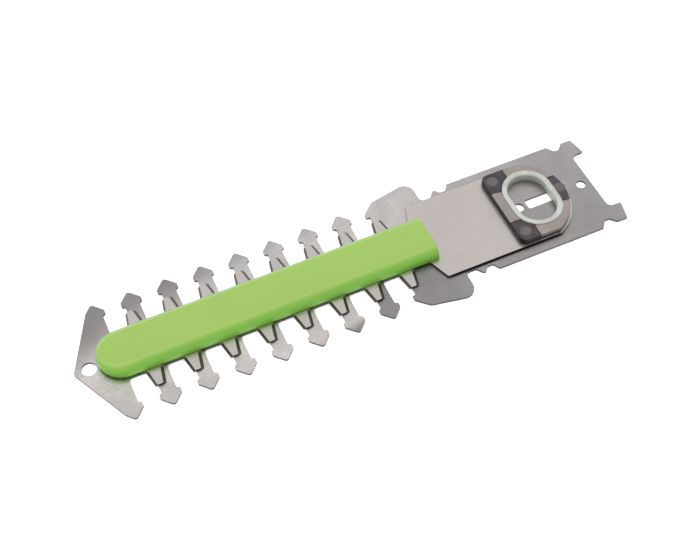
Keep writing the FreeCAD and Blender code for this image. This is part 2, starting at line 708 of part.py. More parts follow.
def make_spine_cover():
    """Shell with ribs that rest on the backing bar, a round nose and a square rear end."""
    cover = body("spine_cover", z=COVER_Z)
    nose = f"({NOSE_X} - cover_nose_back)"
    rear = "(last_tooth_x - cover_tail)"
    inner = "(cover_half - cover_wall)"
    bar_top = f"({BAR_TOP} - {COVER_Z})"
    cavity = "(cover_height - cover_roof)"

    strip = sketch(cover, "cover_outline")
    outline(strip, both_sides([(nose, "cover_half"), (rear, "cover_half")]))
    pad(cover, strip, "cover_height", "cover_strip")
    round_end = sketch(cover, "cover_nose_outline")
    circle(round_end, nose, "0", "cover_half")
    pad(cover, round_end, "cover_height", "cover_nose")
    top, tail = value("cover_height"), value(rear)
    soften(cover, "cover_round", "cover_sides",
           lambda edge: level(edge, top) and edge.BoundBox.XMax > tail + 1)

    bays = sketch(cover, "bay_outline")
    rivet = f"(last_tooth_x + {GUIDE_STEP})"
    outline(bays, both_sides([(f"{rivet} + pitch - rib_half", inner), (f"{rivet} - pitch + rib_half", inner)]))
    bay = pocket_up(cover, bays, cavity, "bay")
    repeat(cover, bay, GUIDE_STEP, f"{GUIDES} - 1", "bays")
    rear_bay = sketch(cover, "rear_bay_outline")
    outline(rear_bay, both_sides([("last_tooth_x + pitch - rib_half", inner), (f"{rear} + cover_wall", inner)]))
    pocket_up(cover, rear_bay, cavity, "rear_bay")

    recess = sketch(cover, "bar_recess_outline")
    slot(recess, f"(last_tooth_x + {NOSE_SCREW_X}) / 2", "0", f"({NOSE_SCREW_X} - last_tooth_x) / 2",
         "bar_half + bar_fit")
    pocket_up(cover, recess, bar_top, "bar_recess")
    boss = sketch(cover, "boss_outline", height=bar_top)
    circle(boss, "last_tooth_x", "0", "boss_radius")
    pad(cover, boss, f"{cavity} - {bar_top}", "boss")
    threads = sketch(cover, "screw_holes")
    for x in ("last_tooth_x", NOSE_SCREW_X):
        circle(threads, x, "0", "rivet_radius")
    pocket_up(cover, threads, "cover_height - thread_cover", "screw_holes_cut")
    return cover


# ---------------------------------------------------------------- build and write

def check(nodes):
    """Stop if an object failed or a sub-part is not one sound solid."""
    faults = [item.Name for item in doc.Objects if {"Invalid", "Error"} & set(item.State)]
    for node in nodes:
        if node.Shape.isNull() or not node.Shape.isValid() or len(node.Shape.Solids) != 1:
            faults.append(node.Label)
    if faults:
        raise RuntimeError("not sound: " + ", ".join(faults))


def write(nodes):
    os.makedirs("parts", exist_ok=True)
    for node in nodes:
        node.Shape.exportStep(os.path.join("parts", node.Label + ".step"))
        box = node.Shape.BoundBox
        print(f"{node.Label:18s} {node.Shape.Volume:9.1f} mm3  x {box.XMin:7.2f} {box.XMax:7.2f}"
              f"  y {box.YMin:7.2f} {box.YMax:7.2f}  z {box.ZMin:6.2f} {box.ZMax:6.2f}")


sheet = make_sheet()
nodes = [make_comb_plate(), make_knife_plate(), make_drive_plate(), make_cam_liner()]
nodes += make_plug_welds()
nodes += [make_backing_bar(), make_nose_spacer(), make_spine_cover()]
for number, place in enumerate(guide_places(), start=1):
    nodes += make_guide(number, place)
nodes.append(make_collar(round(value(GUIDES)), "last_tooth_x"))
nodes += [make_cover_screw("cover_screw_rear", "last_tooth_x"), make_cover_screw("cover_screw_nose", NOSE_SCREW_X)]
doc.recompute()
check(nodes)
write(nodes)
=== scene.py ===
# %% [markdown]
# # Blade cartridge of a shrub trimmer
#
# The real object is a thin sandwich. A fixed comb of stamped sheet steel lies at the bottom, a toothed knife
# slides on it, and a plastic cover runs along the top. At the rear end, a thick steel ring with a nylon liner is
# welded on the knife, so that a cam can push the knife to and fro.
#
# The engineering model already holds every sheet, rivet and screw in its place. This lesson loads it, gives each
# part a finish made of nodes, and models by hand the pieces whose soft shape counts: the cover and the weld beads.

# %% Load the frame
import bpy
import math
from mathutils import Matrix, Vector


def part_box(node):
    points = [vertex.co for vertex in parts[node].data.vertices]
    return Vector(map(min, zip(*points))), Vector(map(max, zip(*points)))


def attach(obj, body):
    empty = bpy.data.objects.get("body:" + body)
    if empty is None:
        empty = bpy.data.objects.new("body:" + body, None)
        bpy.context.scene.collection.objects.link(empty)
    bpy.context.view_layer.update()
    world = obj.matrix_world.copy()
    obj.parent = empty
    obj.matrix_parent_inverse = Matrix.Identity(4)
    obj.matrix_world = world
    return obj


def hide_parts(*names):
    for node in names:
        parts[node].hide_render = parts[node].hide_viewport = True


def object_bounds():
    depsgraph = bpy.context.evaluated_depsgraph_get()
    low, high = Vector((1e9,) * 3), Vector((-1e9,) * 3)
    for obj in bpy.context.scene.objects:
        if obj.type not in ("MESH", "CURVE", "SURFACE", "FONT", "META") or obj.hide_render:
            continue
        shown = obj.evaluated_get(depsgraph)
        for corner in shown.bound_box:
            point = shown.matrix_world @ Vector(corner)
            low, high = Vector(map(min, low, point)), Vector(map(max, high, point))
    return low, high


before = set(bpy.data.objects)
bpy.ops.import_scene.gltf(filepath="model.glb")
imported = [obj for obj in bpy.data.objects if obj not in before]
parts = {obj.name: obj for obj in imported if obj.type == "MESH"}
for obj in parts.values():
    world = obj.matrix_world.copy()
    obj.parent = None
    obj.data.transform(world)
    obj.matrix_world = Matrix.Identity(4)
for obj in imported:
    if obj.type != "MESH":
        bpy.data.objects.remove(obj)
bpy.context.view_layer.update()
MM = 0.001
print("loaded", len(parts), "parts:", ", ".join(sorted(parts)))

# %% [markdown]
# ## Camera and floor
#
# The camera looks from above and a little to one side, with a long lens, so that the blade is hardly distorted.
# It gets its place and its turn as numbers. It could also be aimed with a constraint, but plain numbers stay put
# when the object changes.

# %% Camera
bpy.ops.object.camera_add(location=(0.22155, 0.27466, 0.40648), rotation=(0.62704, 0.01808, 2.71586))
camera = bpy.context.object
camera.data.lens = 65.45
camera.data.sensor_width = 36.0
camera.data.clip_start = 0.01
bpy.context.scene.camera = camera
print("camera lens", round(camera.data.lens, 2), "mm")

# %% Floor
floor_gap = 0.02 * MM
floor_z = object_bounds()[0][2] - floor_gap
blade_middle = (0.1, 0.0, 0.0)
bpy.ops.mesh.primitive_plane_add(size=6.0, location=(blade_middle[0], blade_middle[1], floor_z))
floor = bpy.context.object
floor.name = "floor"
print("floor at", round(floor_z / MM, 3), "mm")

# %% [markdown]
# ## Light
#
# Bare steel shows mostly what it mirrors. A studio surrounds it with large white surfaces, so the steel looks like
# an even pale grey, and no lamp shows as a hard spot. Here the world is that white tent. One large area lamp
# above the -Y side and a weaker one beyond the nose add the slight fall of light from which the eye reads the
# form. They are hidden from mirror-like rays, as lamps behind the tent's cloth would be.

# %% Light tent
bpy.context.scene.view_settings.view_transform = "Standard"
tent = bpy.data.worlds.new("light_tent")
tent.use_nodes = True
cloth = tent.node_tree.nodes["Background"].inputs
cloth["Color"].default_value = (0.93, 0.95, 0.97, 1.0)
cloth["Strength"].default_value = 0.86
bpy.context.scene.world = tent


def area_lamp(name, place, size, power):
    """A square soft lamp at place, pointing at the middle of the blade."""
    bpy.ops.object.light_add(type="AREA", location=place)
    lamp = bpy.context.object
    lamp.name = name
    lamp.data.size = size
    lamp.data.energy = power
    lamp.visible_glossy = False
    lamp.rotation_euler = (Vector(blade_middle) - Vector(place)).to_track_quat("-Z", "Y").to_euler()


area_lamp("key_lamp", place=(0.0, -0.35, 0.95), size=0.8, power=8.0)
area_lamp("fill_lamp", place=(0.9, 0.2, 0.8), size=0.9, power=3.0)

# %% [markdown]
# ## Helpers for node materials
#
# A finish is a small chain of nodes: a pattern, a mask that says where it counts, and the shader. Adding nodes one
# by one is long-winded, so one helper adds a node, sets it up and wires its inputs. A number goes into a socket
# and a socket is linked.

# %% Node helper
def add(tree, kind, inputs=None, **settings):
    """Add a node. inputs maps a socket's name or number to a value or to the socket that feeds it."""
    made = tree.nodes.new(kind)
    for key, setting in settings.items():
        setattr(made, key, setting)
    for key, given in (inputs or {}).items():
        if isinstance(given, bpy.types.NodeSocket):
            tree.links.new(given, made.inputs[key])
        else:
            made.inputs[key].default_value = given
    return made


def maths(tree, operation, first, second=0.0, clamp=False):
    """The result of one sum."""
    return add(tree, "ShaderNodeMath", {0: first, 1: second}, operation=operation, use_clamp=clamp).outputs[0]


def fade(tree, given, low, high, start=0.0, end=1.0):
    """A value that goes smoothly from start to end while given goes from low to high."""
    node = add(tree, "ShaderNodeMapRange", {"Value": given, "From Min": low, "From Max": high,
                                            "To Min": start, "To Max": end}, interpolation_type="SMOOTHSTEP")
    return node.outputs["Result"]


def blend(tree, mask, below, above, mode="MIX"):
    """A colour: below where the mask is 0, above where it is 1."""
    node = add(tree, "ShaderNodeMix", {0: mask}, data_type="RGBA", blend_type=mode)
    for socket, given in ((node.inputs[6], below), (node.inputs[7], above)):
        if isinstance(given, bpy.types.NodeSocket):
            tree.links.new(given, socket)
        else:
            socket.default_value = (*given, 1.0)
    return node.outputs[2]


def start_group(name, inputs, outputs):
    """An empty node group with these number inputs {name: default} and outputs {name: kind}."""
    group = bpy.data.node_groups.new(name, "ShaderNodeTree")
    for label, default in inputs.items():
        socket = group.interface.new_socket(label, in_out="INPUT", socket_type="NodeSocketFloat")
        socket.default_value = default
    for label, kind in outputs.items():
        group.interface.new_socket(label, in_out="OUTPUT", socket_type=f"NodeSocket{kind}")
    entry = group.nodes.new("NodeGroupInput").outputs
    leave = group.nodes.new("NodeGroupOutput").inputs
    return group, entry, leave


def use_group(tree, group, **inputs):
    """Place a node group in a material and give its inputs a value or the socket that feeds them."""
    node = tree.nodes.new("ShaderNodeGroup")
    node.node_tree = group
    for key, given in inputs.items():
        if isinstance(given, bpy.types.NodeSocket):
            tree.links.new(given, node.inputs[key])
        else:
            node.inputs[key].default_value = given
    return node.outputs


def outward(tree, kind, axis):
    """How far the surface faces along an axis. kind is Normal, or True Normal for the unsmoothed one."""
    normal = tree.nodes.new("ShaderNodeNewGeometry").outputs[kind]
    return add(tree, "ShaderNodeSeparateXYZ", {0: normal}).outputs[axis]


def start_material(name):
    """A new node material: its tree, its shader and the object coordinates."""
    material = bpy.data.materials.new(name)
    material.use_nodes = True
    tree = material.node_tree
    place = tree.nodes.new("ShaderNodeTexCoord").outputs["Object"]
    return material, tree, tree.nodes["Principled BSDF"], place


def finish_with(material, *names):
    """Give these parts the material, in place of what they had."""
    for name in names:
        mesh = (parts.get(name) or bpy.data.objects[name]).data
        mesh.materials.clear()
        mesh.materials.append(material)


# %% [markdown]
# ## Shared effects
#
# Sheet steel of this kind shows four things. Rolling and belt grinding leave fine streaks along one direction.
# Handling leaves cloudy patches. The press leaves a cut edge with a bright burnished band and a dark torn one,
# here painted darker still as the shade in the gaps between the sheets.
# Welding leaves straw, brown and blue heat colours. Each effect is one node group, so that every steel part can
# use it with its own strength.

# %% Brushed grain
def make_brushed_grain():
    """Fine streaks along X and a finer even speckle. Length and Width are in metres."""
    group, given, result = start_group("brushed_grain", {"Length": 0.005, "Width": 0.00035},
                                       {"Streaks": "Float", "Speckle": "Float"})
    place = group.nodes.new("ShaderNodeTexCoord").outputs["Object"]
    along = maths(group, "DIVIDE", 1.0, given["Length"])
    across = maths(group, "DIVIDE", 1.0, given["Width"])
    stretch = add(group, "ShaderNodeCombineXYZ", {0: along, 1: across, 2: across}).outputs[0]
    stretched = add(group, "ShaderNodeVectorMath", {0: place, 1: stretch}, operation="MULTIPLY").outputs[0]
    noise = add(group, "ShaderNodeTexNoise", {"Vector": stretched, "Scale": 1.0, "Detail": 3.0, "Roughness": 0.65})
    group.links.new(fade(group, noise.outputs[0], 0.3, 0.7), result["Streaks"])
    dots = add(group, "ShaderNodeTexNoise", {"Vector": place, "Scale": 1700.0, "Detail": 2.0, "Roughness": 0.6})
    group.links.new(fade(group, dots.outputs[0], 0.35, 0.65), result["Speckle"])
    return group


# %% Cloudy handling marks
def make_handling_marks():
    """Soft cloudy patches with finer mottling inside. Size is in metres."""
    group, given, result = start_group("handling_marks", {"Size": 0.02}, {"Clouds": "Float", "Mottle": "Float"})
    place = group.nodes.new("ShaderNodeTexCoord").outputs["Object"]
    scale = maths(group, "DIVIDE", 1.0, given["Size"])
    clouds = add(group, "ShaderNodeTexNoise", {"Vector": place, "Scale": scale, "Detail": 2.0, "Distortion": 0.4})
    fine = add(group, "ShaderNodeTexNoise", {"Vector": place, "Scale": maths(group, "MULTIPLY", scale, 24.0),
                                             "Detail": 3.0, "Roughness": 0.7})
    group.links.new(fade(group, clouds.outputs[0], 0.35, 0.65), result["Clouds"])
    group.links.new(fade(group, fine.outputs[0], 0.3, 0.7), result["Mottle"])
    return group


# %% Cut edge of a stamped sheet
def make_cut_edge():
    """Side marks what stands upright. Tone is the brightness there: rolled over, burnished, then torn. The dark
    rolled and torn parts also stand for painted shade.

    Bottom and Thick say where the sheet lies, in metres.
    """
    group, given, result = start_group("cut_edge", {"Bottom": 0.0, "Thick": 0.001},
                                       {"Side": "Float", "Tone": "Float"})
    torn_share, torn_wave = 0.30, 0.22
    place = group.nodes.new("ShaderNodeTexCoord").outputs["Object"]
    height = add(group, "ShaderNodeSeparateXYZ", {0: place}).outputs["Z"]
    level = maths(group, "DIVIDE", maths(group, "SUBTRACT", height, given["Bottom"]), given["Thick"])
    lean = maths(group, "ABSOLUTE", outward(group, "True Normal", "Z"))
    ragged = add(group, "ShaderNodeTexNoise", {"Vector": place, "Scale": 900.0, "Detail": 2.0}).outputs[0]
    torn_line = maths(group, "MULTIPLY_ADD", ragged, torn_wave)
    torn_line.node.inputs[2].default_value = torn_share
    burnished = fade(group, maths(group, "SUBTRACT", level, torn_line), -0.05, 0.05)
    rolled = fade(group, level, 0.72, 0.88, 1.0, 0.1)
    group.links.new(fade(group, lean, 0.25, 0.75, 1.0, 0.0), result["Side"])
    group.links.new(maths(group, "MULTIPLY", burnished, rolled), result["Tone"])
    return group


# %% Heat colours beside a weld
def make_heat_colours():
    """Colour of the oxide: Heat 0 is bare steel, then straw, brown, purple and, at 1, dark blue grey."""
    group, given, result = start_group("heat_colours", {"Heat": 0.0}, {"Tint": "Color"})
    ramp = add(group, "ShaderNodeValToRGB", {0: given["Heat"]})
    stops = [(0.0, (1.0, 1.0, 1.0)), (0.16, (0.86, 0.77, 0.67)), (0.36, (0.36, 0.25, 0.22)),
             (0.55, (0.17, 0.10, 0.13)), (0.80, (0.19, 0.175, 0.21)), (1.0, (0.27, 0.285, 0.31))]
    while len(ramp.color_ramp.elements) < len(stops):
        ramp.color_ramp.elements.new(0.5)
    for element, (spot, colour) in zip(ramp.color_ramp.elements, stops):
        element.position = spot
        element.color = (*colour, 1.0)
    group.links.new(ramp.outputs[0], result["Tint"])
    return group


brushed_grain = make_brushed_grain()
handling_marks = make_handling_marks()
cut_edge = make_cut_edge()
heat_colours = make_heat_colours()
print("effects:", [group.name for group in bpy.data.node_groups])

# %% [markdown]
# ## Sheet steel
#
# Comb, knife, backing bar and the small steel parts share one recipe with different tones. The shader is fully
# metallic, the streaks and clouds darken its colour and change its roughness a little, and the cut edge darkens
# what stands upright, partly as painted shade. The comb also gets a band of painted reflection. The slanted ground
# faces of the knife's teeth are neither flat nor upright, so a mask on the normal finds them too.

# %% Sheet steel recipe
def painted_reflection_band(tree, place):
    """1 in a broad band of painted reflection, slanting across the toothed length.

    The band ends sharply on one side and fades out slowly on the other. On the -Y side it starts at the shank, on
    the +Y side only beyond the first tooth.
    """
    fall_per_metre, shift = -0.239, 0.0323
    split = add(tree, "ShaderNodeSeparateXYZ", {0: place}).outputs
    slope = maths(tree, "MULTIPLY", split["X"], fall_per_metre)
    across = maths(tree, "ADD", maths(tree, "ADD", split["Y"], slope), shift)
    sharp_side = fade(tree, across, 0.027, 0.033, 1.0, 0.0)
    slow_side = fade(tree, across, -0.038, -0.014)
    band = maths(tree, "MULTIPLY", sharp_side, slow_side)
    plus_side = fade(tree, split["Y"], -0.001, 0.001)
    before_teeth = fade(tree, split["X"], 0.100, 0.108, 1.0, 0.0)
    allowed = maths(tree, "SUBTRACT", 1.0, maths(tree, "MULTIPLY", plus_side, before_teeth))
    start = maths(tree, "MINIMUM", fade(tree, split["X"], 0.0, 0.105, 0.2, 1.0), allowed)
    return maths(tree, "MULTIPLY", band, start)


def darker(colour, share):
    """The colour at this share of its brightness."""
    return tuple(part * share for part in colour)


def sheet_steel(name, colour, bottom, thick, rough=0.38, streak=0.10, cloud=0.10, ground=None, reflection_tone=None,
                edge_band_tone=0.30, specks=0.22):
    """Stamped steel sheet lying from bottom up to bottom + thick, in metres.

    ground is the colour of ground bevels, reflection_tone that of the painted reflection band. streak, cloud and
    specks say how much each pattern counts. edge_band_tone is the brightness of the smooth band in the cut edge,
    as a share of colour; a low value paints the side nearly black, as shade.
    """
    torn, smoothest, roughest = 0.03, rough - 0.06, rough + 0.08
    material, tree, shader, place = start_material(name)
    ground_lines = use_group(tree, brushed_grain)
    grain, speckle = ground_lines["Streaks"], ground_lines["Speckle"]
    marks = use_group(tree, handling_marks)
    side = use_group(tree, cut_edge, Bottom=bottom, Thick=thick)
    surface = colour
    # A band of painted reflection lightens the surface here.
    if reflection_tone:
        surface = blend(tree, painted_reflection_band(tree, place), colour, reflection_tone)
    patterns = ((grain, streak, 0.4), (marks["Clouds"], cloud, 0.55), (marks["Mottle"], 0.12, 0.6),
                (speckle, specks, 0.6))
    for pattern, strength, share in patterns:
        surface = blend(tree, maths(tree, "MULTIPLY", pattern, strength), surface, darker(colour, share))
    if ground:
        lean = outward(tree, "True Normal", "Z")
        slanted = maths(tree, "MULTIPLY", fade(tree, lean, 0.3, 0.45), fade(tree, lean, 0.9, 0.97, 1.0, 0.0))
        surface = blend(tree, slanted, surface, ground)
    # The cut edge is painted very dark, partly as the shade in the gaps between the sheets.
    edge = blend(tree, side["Tone"], darker(colour, torn), darker(colour, edge_band_tone))
    surface = blend(tree, side["Side"], surface, edge)
    roughness = fade(tree, maths(tree, "ADD", grain, marks["Clouds"]), 0.0, 2.0, smoothest, roughest)
    tree.links.new(surface, shader.inputs["Base Color"])
    tree.links.new(roughness, shader.inputs["Roughness"])
    shader.inputs["Metallic"].default_value = 1.0
    bump = add(tree, "ShaderNodeBump", {"Strength": 0.12, "Distance": 0.00002, "Height": grain})
    tree.links.new(bump.outputs[0], shader.inputs["Normal"])
    return material


def level_of(name):
    """Bottom and thickness of a part, in metres."""
    low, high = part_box(name)
    return {"bottom": low[2], "thick": high[2] - low[2]}


# %% Steel finishes
def comb_steel():
    """Comb sheet with painted shade on the teeth beside the painted reflection band, and a painted shadow line
    along the knife's shank.
    """
    painted_knife_shadow, painted_teeth_shade = (0.03, 0.025, 0.02), (0.10, 0.085, 0.08)
    material = sheet_steel("comb_finish", (0.49, 0.456, 0.448), rough=0.37, streak=0.16, cloud=0.22,
                           reflection_tone=(0.95, 0.88, 0.83), **level_of("comb_plate"))
    tree = material.node_tree
    shader = tree.nodes["Principled BSDF"]
    place = tree.nodes["Texture Coordinate"].outputs["Object"]
    split = add(tree, "ShaderNodeSeparateXYZ", {0: place}).outputs
    toothed = fade(tree, split["X"], 0.060, 0.080)
    # A painted shadow on the comb, along the edge of the knife's shank.
    beyond = maths(tree, "SUBTRACT", maths(tree, "ABSOLUTE", split["Y"]), knife_edge)
    line = maths(tree, "MULTIPLY", fade(tree, beyond, -0.0003, 0.0),
                 fade(tree, beyond, 0.0002, 0.0012, 1.0, 0.0))
    line = maths(tree, "MULTIPLY", line, fade(tree, split["X"], 0.068, 0.073, 1.0, 0.0))
    line = maths(tree, "MULTIPLY", line, fade(tree, split["X"], 0.016, 0.024))
    # The toothed length outside the painted reflection band gets painted shade.
    plain = shader.inputs["Base Color"].links[0].from_socket
    teeth_shade_mask = maths(tree, "MULTIPLY", toothed, maths(tree, "SUBTRACT", 1.0, painted_reflection_band(tree, place)))
    plain = blend(tree, maths(tree, "MULTIPLY", teeth_shade_mask, 0.22), plain, painted_teeth_shade)
    tree.links.new(blend(tree, maths(tree, "MULTIPLY", line, 0.8), plain, painted_knife_shadow), shader.inputs["Base Color"])
    return material


knife_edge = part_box("knife_plate")[1][1]
finish_with(comb_steel(), "comb_plate")
# The knife's cut sides are painted nearly black, as the shade in the gap over the comb.
finish_with(sheet_steel("knife_finish", (0.73, 0.664, 0.628), rough=0.34, streak=0.06, cloud=0.06, specks=0.09,
                        ground=(0.15, 0.13, 0.11), edge_band_tone=0.10, **level_of("knife_plate")), "knife_plate")
dull_grey = (0.34, 0.33, 0.32)
finish_with(sheet_steel("bar_finish", dull_grey, rough=0.45, **level_of("backing_bar")), "backing_bar")
finish_with(sheet_steel("spacer_finish", dull_grey, rough=0.45, **level_of("nose_spacer")), "nose_spacer")
fastener_finish = sheet_steel("fastener_finish", (0.50, 0.49, 0.46), 0.0, 0.0005, rough=0.30, streak=0.06)
small_parts = [name for name in parts if name.startswith(("guide_rivet", "rivet_washer", "spacer_collar",
                                                           "cover_screw"))]
finish_with(fastener_finish, *small_parts)
print("steel parts:", 4 + len(small_parts))

# %% [markdown]
# ## Drive plate with its heat tint
#
# The thick plate round the liner is fixed by three spot-like plug welds, and each of them has blued the steel
# around it. The blue zones have a sharp border, where a welding fixture carried the heat off, and a straw fringe
# outside. The zones are boxes in the part's own coordinates: how far a point lies inside a box gives the heat.

# %% Weld places
welds = []
for name in ("plug_weld_1", "plug_weld_2", "plug_weld_3"):
    low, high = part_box(name)
    welds.append(((low[0] + high[0]) / 2, (low[1] + high[1]) / 2))
weld_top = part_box("drive_plate")[1][2]
weld_radius = (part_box("plug_weld_1")[1][0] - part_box("plug_weld_1")[0][0]) / 2
print("welds at", [(round(x / MM, 1), round(y / MM, 1)) for x, y in welds], "mm")


# %% Heat tinted steel
def inside_box(tree, place, centre, half, edge):
    """1 inside a box in plan, falling to 0 over edge outside it, with a slightly wavy border. In metres."""
    sway = (1.2 * MM, 1.2 * MM, 0.0)
    wave = add(tree, "ShaderNodeTexNoise", {"Vector": place, "Scale": 260.0, "Detail": 1.0}).outputs["Color"]
    shift = add(tree, "ShaderNodeVectorMath", {0: wave, 1: (-0.5, -0.5, -0.5)}).outputs[0]
    small = add(tree, "ShaderNodeVectorMath", {0: shift, 1: sway}, operation="MULTIPLY").outputs[0]
    moved = add(tree, "ShaderNodeVectorMath", {0: place, 1: small}).outputs[0]
    centred = add(tree, "ShaderNodeVectorMath", {0: moved, 1: (-centre[0], -centre[1], 0.0)}).outputs[0]
    apart = add(tree, "ShaderNodeVectorMath", {0: centred}, operation="ABSOLUTE").outputs[0]
    split = add(tree, "ShaderNodeSeparateXYZ", {0: apart}).outputs
    across = [maths(tree, "SUBTRACT", split[i], half[i]) for i in (0, 1)]
    return fade(tree, maths(tree, "MAXIMUM", *across), 0.0, edge, 1.0, 0.0)


def near_point(tree, place, centre, inner, outer):
    """1 within inner of an upright line through centre, 0 beyond outer. In metres."""
    flat = add(tree, "ShaderNodeVectorMath", {0: place, 1: (1.0, 1.0, 0.0)}, operation="MULTIPLY").outputs[0]
    away = add(tree, "ShaderNodeVectorMath", {0: flat, 1: (centre[0], centre[1], 0.0)}, operation="DISTANCE")
    return fade(tree, away.outputs["Value"], inner, outer, 1.0, 0.0)


def drive_steel():
    """Brushed plate with a blue grey zone round each weld and painted shade on its front side."""
    material = sheet_steel("drive_finish", (0.57, 0.50, 0.47), rough=0.36, streak=0.34, cloud=0.30,
                           edge_band_tone=0.8, **level_of("drive_plate"))
    tree = material.node_tree
    shader = tree.nodes["Principled BSDF"]
    place = tree.nodes["Texture Coordinate"].outputs["Object"]
    # The middle of each zone and half its size, along and across the blade.
    zones = [((0.0345, 0.0140), (0.0045, 0.0054)), ((0.0335, -0.0140), (0.0055, 0.0054)),
             ((0.0100, 0.0), (0.0060, 0.0063))]
    core_border, fringe_width, fringe_heat = 0.0011, 0.0035, 0.14
    heat = None
    for centre, half in zones:
        core = inside_box(tree, place, centre, half, core_border)
        fringe = inside_box(tree, place, centre, half, fringe_width)
        here = maths(tree, "MAXIMUM", core, maths(tree, "MULTIPLY", fringe, fringe_heat))
        heat = here if heat is None else maths(tree, "MAXIMUM", heat, here)
    marks = use_group(tree, handling_marks, Size=0.004)
    heat = maths(tree, "SUBTRACT", heat, maths(tree, "MULTIPLY", marks["Clouds"], 0.12), clamp=True)
    tint = use_group(tree, heat_colours, Heat=heat)
    bare = shader.inputs["Base Color"].links[0].from_socket
    tinted = blend(tree, 1.0, bare, tint["Tint"], mode="MULTIPLY")
    # Painted shade: the side that faces the blade is made nearly black.
    painted_front_shade = (0.018, 0.016, 0.018)
    tinted = blend(tree, fade(tree, outward(tree, "True Normal", "X"), 0.35, 0.7), tinted, painted_front_shade)
    tree.links.new(tinted, shader.inputs["Base Color"])
    return material


finish_with(drive_steel(), "drive_plate")
print("heat tint on:", parts["drive_plate"].data.materials[0].name)

# %% [markdown]
# ## Weld beads
#
# A plug weld fills a drilled hole with molten metal. It freezes from the rim inwards, so its face is a low dome
# with fine rings and a small crater in the middle. A disc could carry a bump map instead, but real rings catch the
# light at their own height, so the bead is modelled: a flat disc whose face is inset again and again, with each
# new ring lifted or lowered a little.

# %% Model one bead and copy it
def deselect():
    """Nothing stays selected: an operator acts on all that is."""
    bpy.ops.object.select_all(action="DESELECT")


def apply_place(piece):
    """Move the object's place and size into its mesh."""
    deselect()
    piece.select_set(True)
    bpy.context.view_layer.objects.active = piece
    bpy.ops.object.transform_apply(location=True, rotation=True, scale=True)


bead_skirt = 0.9 * MM
bead_lift = 0.01 * MM


def make_weld_bead(name, centre):
    """A low ringed dome over the weld hole, its rim just above the plate."""
    deselect()
    bpy.ops.mesh.primitive_circle_add(vertices=40, radius=weld_radius + bead_skirt, fill_type="NGON",
                                      location=(centre[0], centre[1], weld_top + bead_lift))
    bead = bpy.context.object
    bead.name = name
    bpy.ops.object.mode_set(mode="EDIT")
    bpy.ops.mesh.select_all(action="SELECT")
    # Width and rise of each ring in millimetres, from the rim inwards.
    rings = [(0.25, 0.09), (0.2, 0.07), (0.25, 0.0), (0.25, -0.09), (0.2, 0.05), (0.3, 0.02), (0.25, -0.06),
             (0.2, 0.03), (0.25, -0.06)]
    for width, rise in rings:
        bpy.ops.mesh.inset(thickness=width * MM)
        bpy.ops.transform.translate(value=(0.0, 0.0, rise * MM))
    bpy.ops.mesh.poke()
    bpy.ops.object.mode_set(mode="OBJECT")
    apply_place(bead)
    bpy.ops.object.shade_smooth()
    return bead


# %% Weld metal
def weld_metal():
    """Dull oxidised metal: brown in the middle of a bead, grey at its rim."""
    material, tree, shader, place = start_material("weld_finish")
    marks = use_group(tree, handling_marks, Size=0.003)
    rim_grey, core_brown, scale_brown = (0.165, 0.165, 0.18), (0.24, 0.18, 0.135), (0.10, 0.085, 0.075)
    core_inner, core_outer = 0.0012, 0.0021
    core = None
    for centre in welds:
        here = near_point(tree, place, centre, core_inner, core_outer)
        core = here if core is None else maths(tree, "MAXIMUM", core, here)
    colour = blend(tree, core, rim_grey, core_brown)
    colour = blend(tree, maths(tree, "MULTIPLY", marks["Mottle"], 0.35), colour, scale_brown)
    tree.links.new(colour, shader.inputs["Base Color"])
    tree.links.new(fade(tree, marks["Clouds"], 0.0, 1.0, 0.38, 0.55), shader.inputs["Roughness"])
    shader.inputs["Metallic"].default_value = 0.8
    bump = add(tree, "ShaderNodeBump", {"Strength": 0.3, "Distance": 0.00005, "Height": marks["Mottle"]})
    tree.links.new(bump.outputs[0], shader.inputs["Normal"])
    return material


weld_finish = weld_metal()
for number, centre in enumerate(welds, start=1):
    bead = make_weld_bead(f"weld_bead_{number}", centre)
    bead.data.materials.append(weld_finish)
    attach(bead, "knife")
finish_with(weld_finish, "plug_weld_1", "plug_weld_2", "plug_weld_3")
print("beads of radius", round((weld_radius + bead_skirt) / MM, 2), "mm")

# %% [markdown]
# ## Nylon liner
#
# The oval liner is natural nylon: milky, a little green, and light passes into it before it comes back out. True
# glass-like transmission would show what lies behind. Subsurface scattering gives the milkiness instead, with a
# short radius because the wall is thin. Near its foot, where it meets the plate, it gets painted shade.

# %% Liner finish
def milky_nylon():
    """Pale green white nylon with a soft glow and a fine mottle."""
    material, tree, shader, place = start_material("liner_finish")
    milk, thin_milk, painted_foot_shade = (0.42, 0.43, 0.395), (0.31, 0.325, 0.285), (0.16, 0.155, 0.10)
    liner_foot, foot_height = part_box("cam_liner")[0][2], 1.6 * MM
    height = add(tree, "ShaderNodeSeparateXYZ", {0: place}).outputs["Z"]
    foot = fade(tree, height, liner_foot, liner_foot + foot_height, 1.0, 0.0)
    marks = use_group(tree, handling_marks, Size=0.006)
    colour = blend(tree, maths(tree, "MULTIPLY", marks["Clouds"], 0.6), milk, thin_milk)
    # Painted shade darkens the liner towards its foot.
    colour = blend(tree, maths(tree, "MULTIPLY", foot, 0.75), colour, painted_foot_shade)
    tree.links.new(colour, shader.inputs["Base Color"])
    tree.links.new(fade(tree, marks["Mottle"], 0.0, 1.0, 0.30, 0.42), shader.inputs["Roughness"])
    shader.inputs["Subsurface Weight"].default_value = 0.35
    shader.inputs["Subsurface Radius"].default_value = (0.0012, 0.0015, 0.0011)
    shader.inputs["Subsurface Scale"].default_value = 1.0
    bump = add(tree, "ShaderNodeBump", {"Strength": 0.1, "Distance": 0.00003, "Height": marks["Mottle"]})
    tree.links.new(bump.outputs[0], shader.inputs["Normal"])
    return material


